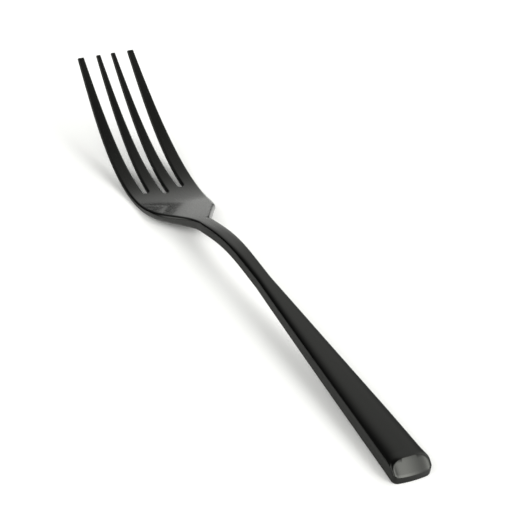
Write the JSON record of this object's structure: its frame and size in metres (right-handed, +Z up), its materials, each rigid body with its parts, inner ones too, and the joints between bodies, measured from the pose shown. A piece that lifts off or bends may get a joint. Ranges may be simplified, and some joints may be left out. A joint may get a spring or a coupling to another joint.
{
  "type": "dinner fork",
  "caption": "Black-coated steel dinner fork with long upturned tines, squared shoulders, a narrow neck and a wedge handle with a slanted end facet.",
  "frame": {"origin": "on the surface that the fork rests on, under the middle of its overall length and width", "axes": "+X across the tines, +Y along the fork from the handle end to the tips, +Z up from the surface"},
  "size_m": [0.0234, 0.2054, 0.0279],
  "materials": {
    "handle_coating": "satin",
    "head_coating": "satin"
  },
  "bodies": {
    "root": {"handle": "handle_coating", "head": "head_coating"}
  },
  "joints": []
}
